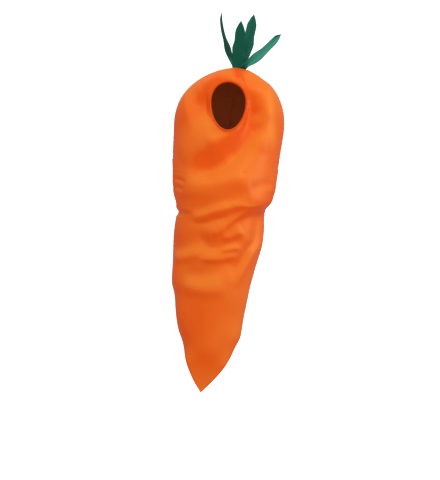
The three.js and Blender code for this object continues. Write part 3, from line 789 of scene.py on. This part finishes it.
def onSide(side, y, drop):
    s = sectionAt(drop)
    isFront = y < 0
    depth = np.where(isFront, s["front"], s["back"])
    ratio = np.clip(np.abs(y) / depth, 0, 1)
    turn = np.where(isFront, np.arccos(ratio), np.pi - np.arccos(ratio))
    turn = turn if side > 0 else np.where(isFront, -turn, 2 * np.pi - turn)
    return clothAt(turn, drop, isFront, rough=False)


bindings = {"width": 6.0, "overlap": 2.0, "thickness": 4.2, "puckerHeight": 0.05, "stitch": 4.2}


def roundedBand(width, overlap, half, corners=5):
    ring = []
    for k in range(corners * 2 + 1):
        a = math.pi / 2 + math.pi * k / (corners * 2)
        ring.append((-width + half * 0.8 + half * 0.8 * math.cos(a), half * math.sin(a)))
    ring += [(-width * 0.45, -half * 1.04), (overlap - 1.6, -half * 0.96), (overlap, -half * 0.62)]
    ring += [(overlap, half * 0.62), (overlap - 1.6, half * 0.96), (-width * 0.45, half * 1.04)]
    return ring


def binding(name, centres, normals, opening, node, cloth):
    tangent = unit(np.roll(centres, -1, axis=0) - np.roll(centres, 1, axis=0))
    out = unit(normals - tangent * np.sum(normals * tangent, axis=1, keepdims=True))
    away = np.cross(tangent, out)
    if np.sum(away[0] * (centres[0] - opening)) < 0:
        away = -away
    count = np.arange(len(centres))
    wave = 1 + bindings["puckerHeight"] * np.sin(count * 1.05 + 0.8 * np.sin(count * 0.21))
    ring = roundedBand(bindings["width"], bindings["overlap"], bindings["thickness"])
    obj = sweptBand(name, centres, away, out, ring, [cloth], wave)
    placed(obj, "orange binding", node)
    line = centres + away * (bindings["overlap"] - 3.2) + out * (bindings["thickness"] * 0.98)
    stitches = stitchRow(name + "Stitches", line, out, orangeThread, bindings["stitch"], closed=True)
    placed(stitches, "orange binding")


stageLine("binding the openings")
angles = np.linspace(0, 2 * np.pi, 180, endpoint=False)
rise = np.sin(angles) * faceHole["halfHeight"]
halfWidth = faceHole["halfWidth"] * (1 + faceHole["egg"] * np.sin(angles))
faceX = faceHole["x"] + np.cos(angles) * halfWidth + faceHole["lean"] * rise
centres, normals, _ = onFront(faceX, faceHole["drop"] - rise)
# the face binding takes the darker colour as painted shade
binding("FaceBinding", centres, normals, centres.mean(axis=0), "face_binding", shadedFaceBinding)
angles = np.linspace(0, 2 * np.pi, 130, endpoint=False)
for side, word in ((1, "Right"), (-1, "Left")):
    y = np.cos(angles) * armhole["halfDepth"]
    centres, normals, _ = onSide(side, y, armhole["drop"] - np.sin(angles) * armhole["halfHeight"])
    node = "armhole_binding_" + word.lower()
    binding("ArmholeBinding" + word, centres, normals, centres.mean(axis=0), node, orangeTape)


closure = {
    "top": 330.0,
    "bottom": 902.0,
    "halfWidth": 28.0,
    "placketThickness": 2.0,
    "patchDrops": (374.0, 550.0, 726.0, 858.0),
    "patchHeight": 44.0,
    "patchSides": (5.0, 25.0),
    "patchThickness": 1.2,
    "loopLift": -0.4,  # heights above the inner face of the back
    "hookLift": -2.0,
    "placketLift": -3.6,
    "stitchesFromMiddle": 7.0,
    "stitchesHeight": 3.9,
}


# A flat strip that follows the inside of the back, with rounded edges
def backStrip(name, xs, drops, lifts, thickness, material, slot, nodes):
    x = np.broadcast_to(np.asarray(xs, float)[None, :], (len(drops), len(xs))).copy()
    drop = np.broadcast_to(np.asarray(drops, float)[:, None], x.shape).copy()
    centre, normal, _ = onBack(x, drop)
    top = centre + normal * (np.asarray(lifts)[None, :] - body["wall"] / 2)[..., None]
    edge = np.minimum.reduce([np.abs(x - xs[0]), np.abs(x - xs[-1]), drop - drops[0], drops[-1] - drop])
    rounded = np.sqrt(np.clip(1 - (1 - np.clip(edge / 1.5, 0, 1)) ** 2, 0.06, 1))[..., None]
    middle = top - normal * thickness / 2
    ripple = noiseAt(middle, 1 / 14, 5.0)[..., None] * 0.25
    outer = middle + normal * (thickness / 2 * rounded + ripple)
    inner = middle - normal * (thickness / 2 * rounded - ripple)
    order = slice(None, None, -1)
    uv = np.stack([x, -drop], -1)
    keep = np.ones((len(drops) - 1, len(xs) - 1), bool)
    obj = paddedSheet(name, outer[:, order], inner[:, order], uv[:, order], keep, [material, material])
    placed(obj, slot, *nodes)


stageLine("closing the back")
xs = np.linspace(-closure["halfWidth"], closure["halfWidth"], 41)
rows = np.linspace(closure["top"], closure["bottom"], 190)
lifts = np.interp(xs, [0, 4], [closure["loopLift"], closure["placketLift"]])
backStrip(
    "BackPlacket",
    xs,
    rows,
    lifts,
    closure["placketThickness"],
    placketCloth,
    "placket cloth",
    ["back_placket"],
)
for number, low in enumerate(closure["patchDrops"], start=1):
    xs = np.linspace(*closure["patchSides"], 16)
    rows = np.linspace(low, low + closure["patchHeight"], 30)
    for word, lift in (("Loop", closure["loopLift"]), ("Hook", closure["hookLift"])):
        backStrip(
            f"{word}Patch{number}",
            xs,
            rows,
            np.full(16, lift),
            closure["patchThickness"],
            pileTape,
            "hook and loop tape",
            [f"{word.lower()}_patch_{number}"],
        )
for word, side in (("Right", 1), ("Left", -1)):
    line = np.linspace(closure["top"] - 6, closure["bottom"] + 6, 260)
    centre, normal, _ = onBack(np.full(line.shape, side * closure["stitchesFromMiddle"]), line)
    line = centre + normal * closure["stitchesHeight"]
    placed(stitchRow("ClosureStitches" + word, line, normal, orangeThread), "orange binding")


# Top-stitching beside the free edges of the front and back points
hemStitches = {"fromEdge": 10.0, "fromTip": 26.0, "fromSeamEnd": 10.0}
stageLine("stitching the hems")
for word, isFront in (("Front", True), ("Back", False)):
    start = body["seamEnd"] + hemStitches["fromSeamEnd"]
    down = np.linspace(start, body["length"] - hemStitches["fromTip"], 150)
    half = sectionAt(down)["half"]
    inset = np.clip(1 - hemStitches["fromEdge"] / np.maximum(half, 12), 0, 1)
    for name, sign in (("Right", 1), ("Left", -1)):
        lean = np.arcsin(inset) * sign
        turn = lean if isFront else np.pi - lean
        flag = np.full(turn.shape, isFront)
        centre, normal, _ = clothAt(turn, down, flag, rough=False)
        line = centre + normal * (body["wall"] / 2)
        placed(stitchRow(word + "HemStitches" + name, line, normal, orangeThread), "orange binding")


# root is in the crown's slot; path is the two points that bend the blade's line, then its tip; twist and
# tipTwist turn it, in degrees; cup bends its edges forwards, crease folds it along its midrib and wave
# rolls it; waist, upper and shoulder are its widths above the root, at the upper lobe and below the tip, as
# shares; late over 1 moves its widest part towards the tip
leaves = [
    {
        "name": "LeafCentre",
        "node": "leaf_centre",
        "root": (14, 0),
        "rootHalf": 25,
        "half": 31,
        "path": [(13, 0, 60), (5, -8, 130), (5, -16, 206)],
        "twist": 5,
        "tipTwist": 5,
        "cup": 4,
        "crease": -2,
        "wave": 2.4,
        "upper": 0.7,
        "shoulder": 0.6,
        "waist": 0.84,
        "late": 1.0,
    },
    {
        "name": "LeafRight",
        "node": "leaf_right",
        "root": (30, -6.2),
        "rootHalf": 12,
        "half": 30,
        "path": [(50, -22, 16), (116, -44, 58), (183, -46, 160)],
        "twist": 60,
        "tipTwist": 46,
        "cup": 4,
        "crease": 2,
        "wave": 3.0,
        "upper": 0.84,
        "shoulder": 0.72,
        "waist": 0.5,
        "late": 1.3,
    },
    {
        "name": "LeafMidRight",
        "node": "leaf_mid_right",
        "root": (26, 6),
        "rootHalf": 14,
        "half": 28,
        "path": [(34, 9, 60), (52, 20, 150), (58, 22, 248)],
        "twist": -4,
        "tipTwist": -8,
        "cup": -2,
        "crease": -3,
        "wave": 3.0,
        "upper": 0.76,
        "shoulder": 0.64,
        "waist": 0.74,
        "late": 1.2,
    },
    {
        "name": "LeafLeft",
        "node": "leaf_left",
        "root": (-1, 6),
        "rootHalf": 10,
        "half": 25,
        "path": [(-14, 34, 55), (-76, 46, 152), (-83, 44, 243)],
        "twist": 76,
        "tipTwist": 69,
        "cup": 4,
        "crease": 3,
        "wave": 4.0,
        "upper": 0.85,
        "shoulder": 0.5,
        "waist": 0.7,
        "late": 1.0,
    },
]
leafCloth = {
    "thickness": 5.0,
    "rootDepth": 16.0,
    "edgeSeam": 3.2,
    "edgeRound": 3.0,
    "tipTaper": 144.0,  # how long the blade is rounded off towards its tip
    "rootShare": 0.84,  # of the widest half-width
    "widen": 0.34,  # the share of the length over which the blade widens and turns
    "rows": 90,  # fineness of the cloth
    "rootRows": 10,
    "columns": 33,
}


def leafShape(leaf):
    start = np.array([*leaf["root"], 0.0])
    path = [start] + [np.array(p, float) for p in leaf["path"]]
    upper, waist, rootShare = leaf["upper"], leaf["waist"], leafCloth["rootShare"]
    shares = [rootShare, waist, (1 + waist) / 2, 1, 0.44 * (1 + upper), upper, leaf["shoulder"] * upper, 0]
    leafOutline = smoothCurve([0, 0.16, 0.3, 0.45, 0.62, 0.78, 0.9, 1], shares)
    steps, rootSteps, across = leafCloth["rows"], leafCloth["rootRows"], leafCloth["columns"]
    outer, inner, uv, edges = [], [], [], []
    for i in range(-rootSteps, steps + 1):
        t = max(0.0, i / steps)
        b = [(1 - t) ** 3, 3 * t * (1 - t) ** 2, 3 * t * t * (1 - t), t**3]
        place = sum(w * p for w, p in zip(b, path))
        d = [-3 * (1 - t) ** 2, 3 * (1 - t) ** 2 - 6 * t * (1 - t), 6 * t * (1 - t) - 3 * t * t, 3 * t * t]
        tangent = unit(sum(w * p for w, p in zip(d, path))) if i > 0 else np.array([0.0, 0, 1])
        if i < 0:
            place = start + np.array([0, 0, leafCloth["rootDepth"] * i / rootSteps])
        eased = float(smoothStep(t / leafCloth["widen"]))
        widest = leaf["half"] * eased + leaf["rootHalf"] / rootShare * (1 - eased)
        halfWidth = max(0.8, float(leafOutline(t ** leaf["late"])) * widest)
        tipward = float(smoothStep((t - leafCloth["widen"]) / 0.4))
        turn = math.radians(leaf["twist"] * eased + (leaf["tipTwist"] - leaf["twist"]) * tipward)
        right = unit(np.array([1.0, 0, 0]) - tangent * tangent[0])
        out = np.cross(right, tangent)
        wide = right * math.cos(turn) + out * math.sin(turn)
        facing = np.cross(wide, tangent)
        v = np.sin(np.linspace(-1, 1, across) * np.pi / 2)
        roll = eased * (leaf["wave"] * np.sin(t * 9.0 + 1.3) * v + leaf["cup"] * v * v)
        roll += eased * leaf["crease"] * (np.sqrt(v * v + 0.01) - 0.1)
        roll *= min(1.0, halfWidth / 12)
        ripple = 0.8 * eased * np.sin(t * 23 + 2 * v) * np.abs(v) ** 2
        middles = place + wide * (v * halfWidth)[:, None] + facing * (roll + ripple)[:, None]
        fromEdge = np.minimum((1 - np.abs(v)) * halfWidth, (1 - t) * leafCloth["tipTaper"])
        rounded = np.sqrt(np.clip(1 - (1 - np.clip(fromEdge / leafCloth["edgeRound"], 0, 1)) ** 2, 0.05, 1))
        seam = 1 - 0.35 * np.exp(-(((fromEdge - leafCloth["edgeSeam"] - 1) / 1.4) ** 2))
        half = leafCloth["thickness"] / 2 * (1 - 0.6 * t * t) * rounded * seam
        vein = 0.5 * np.exp(-((v * halfWidth / 1.5) ** 2)) * float(smoothStep((0.9 - t) / 0.1))
        outer.append(middles + facing * (half - vein)[:, None])
        inner.append(middles - facing * (half - vein)[:, None])
        uv.append(np.stack([v * halfWidth, np.full(across, place[2])], -1))
        if i > 3 and halfWidth > 7:
            s = 1 - (leafCloth["edgeSeam"] + 1) / halfWidth
            for sign in (-1, 1):
                k = np.interp(sign * s, v, np.arange(across))
                lo, hi = int(k), min(int(k) + 1, across - 1)
                point = outer[-1][lo] * (1 - k + lo) + outer[-1][hi] * (k - lo)
                edges.append((sign, point, facing))
    toCrown = np.array([0, 0, body["wall"]])
    outer, inner = np.array(outer)[::-1] + toCrown, np.array(inner)[::-1] + toCrown
    uv = np.array(uv)[::-1]
    keep = np.ones((outer.shape[0] - 1, outer.shape[1] - 1), bool)
    obj = paddedSheet(leaf["name"], outer, inner, uv, keep, [greenSatin, greenSatin])
    placed(obj, "green satin", leaf["node"], padded=0.4)
    for sign, word in ((-1, "A"), (1, "B")):
        pts = [p + toCrown for s, p, f in edges if s == sign]
        outs = [f for s, p, f in edges if s == sign]
        stitches = stitchRow(leaf["name"] + "Stitches" + word, pts, outs, greenThread, 3.6, 2.6, 0.3)
        placed(stitches, "green satin")


stageLine("sewing the leaves")
for leaf in leaves:
    leafShape(leaf)


# The room: a pale seamless floor that curves up behind, and soft lights
studio = {
    "floor": -1.735,
    "background": (0.93, 0.93, 0.93),
    "glow": 0.75,
    "worldAbove": 0.76,
    "worldBelow": 0.70,
    "worldBehind": 0.55,
    "key": 29.5,
    "side": 15.0,
    "strip": 38.0,
    "fill": 20.0,
    "rim": 6.0,
    "back": 30.0,
}


def backdrop():
    profile = [(-7.0, 0.0), (3.0, 0.0)]
    profile += [(3.0 + 2.0 * math.sin(a), 2.0 - 2.0 * math.cos(a)) for a in np.linspace(0.1, np.pi / 2, 14)]
    profile += [(5.0, 9.0)]
    verts = [(x, y, studio["floor"] + z) for y, z in profile for x in (-9.0, 9.0)]
    faces = [[2 * i, 2 * i + 1, 2 * i + 3, 2 * i + 2] for i in range(len(profile) - 1)]
    material = bpy.data.materials.new("pale paper")
    tree, shader = nodesOf(material)
    where = tree.nodes.new("ShaderNodeTexCoord").outputs["Object"]
    grain = texture(tree, "ShaderNodeTexNoise", where, Scale=1.2, Detail=2.0)
    pale = studio["background"]
    greyer = tuple(c * 0.985 for c in pale)
    tree.links.new(mixColour(tree, grain.outputs["Fac"], pale, greyer), shader.inputs["Base Color"])
    shader.inputs["Roughness"].default_value = 0.9
    shader.inputs["Emission Color"].default_value = (1, 1, 1, 1)
    shader.inputs["Emission Strength"].default_value = studio["glow"]
    obj = meshObject("Backdrop", verts, faces, [material], scale=1.0)
    obj.visible_diffuse = False
    obj.visible_glossy = False
    obj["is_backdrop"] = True


def areaLight(name, place, target, size, energy, tall=None):
    light = bpy.data.lights.new(name, "AREA")
    light.shape = "RECTANGLE" if tall else "DISK"
    light.size = size
    if tall:
        light.size_y = tall
    light.energy = energy
    obj = bpy.data.objects.new(name, light)
    obj.location = place
    obj.rotation_euler = (Vector(target) - Vector(place)).to_track_quat("-Z", "Y").to_euler()
    bpy.context.scene.collection.objects.link(obj)
    return obj


stageLine("setting the room and the camera")
backdrop()
areaLight("KeyLight", (0.6, -2.2, 1.7), (0, 0, -0.5), 1.0, studio["key"])
areaLight("SideLight", (2.8, -1.0, -0.5), (0, 0, -0.8), 0.8, studio["side"])
strip = areaLight("StripLight", (2.4, -1.3, 0.1), (0, 0, -0.4), 0.25, studio["strip"], tall=1.3)
strip.visible_diffuse = False  # it shows only as a streak on the gloss
areaLight("FillLight", (-3.0, -3.4, -0.2), (0, 0, -0.7), 2.2, studio["fill"])
areaLight("RimLight", (-1.35, 0.9, 1.95), (0, 0, 0), 0.8, studio["rim"])
backLight = areaLight("BackLight", (1.0, 2.9, 1.5), (0, 0, -0.6), 1.2, studio["back"])
backLight.visible_glossy = False  # no glints along the crown
world = bpy.data.worlds.new("pale room")
world.use_nodes = True
tree = world.node_tree
direction = tree.nodes.new("ShaderNodeTexCoord").outputs["Generated"]
axes = tree.nodes.new("ShaderNodeSeparateXYZ")
tree.links.new(direction, axes.inputs["Vector"])
strength = tree.nodes.new("ShaderNodeMath")
strength.operation = "MULTIPLY"
above = mapRange(tree, axes.outputs["Z"], studio["worldBelow"], studio["worldAbove"], -1.0, 1.0)
behind = mapRange(tree, axes.outputs["Y"], 1.0, studio["worldBehind"], -0.2, 1.0)
tree.links.new(above, strength.inputs[0])
tree.links.new(behind, strength.inputs[1])
tree.nodes["Background"].inputs["Color"].default_value = (1, 1, 1, 1)
tree.links.new(strength.outputs["Value"], tree.nodes["Background"].inputs["Strength"])
bpy.context.scene.world = world
bpy.context.scene.view_settings.view_transform = "Standard"

shot = {"distance": 5.0, "height": -0.742, "across": 0.0132, "tall": 2.088, "roll": 6.0}
cameraData = bpy.data.cameras.new("Camera")
cameraData.sensor_width = 36
cameraData.lens = cameraData.sensor_width * shot["distance"] / shot["tall"]
camera = bpy.data.objects.new("Camera", cameraData)
camera.location = (shot["across"], -shot["distance"], shot["height"])
level = Matrix.Rotation(math.radians(90), 3, "X")
camera.rotation_euler = (level @ Matrix.Rotation(math.radians(shot["roll"]), 3, "Z")).to_euler()
bpy.context.scene.collection.objects.link(camera)
bpy.context.scene.camera = camera

low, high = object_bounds()
stageLine("done")
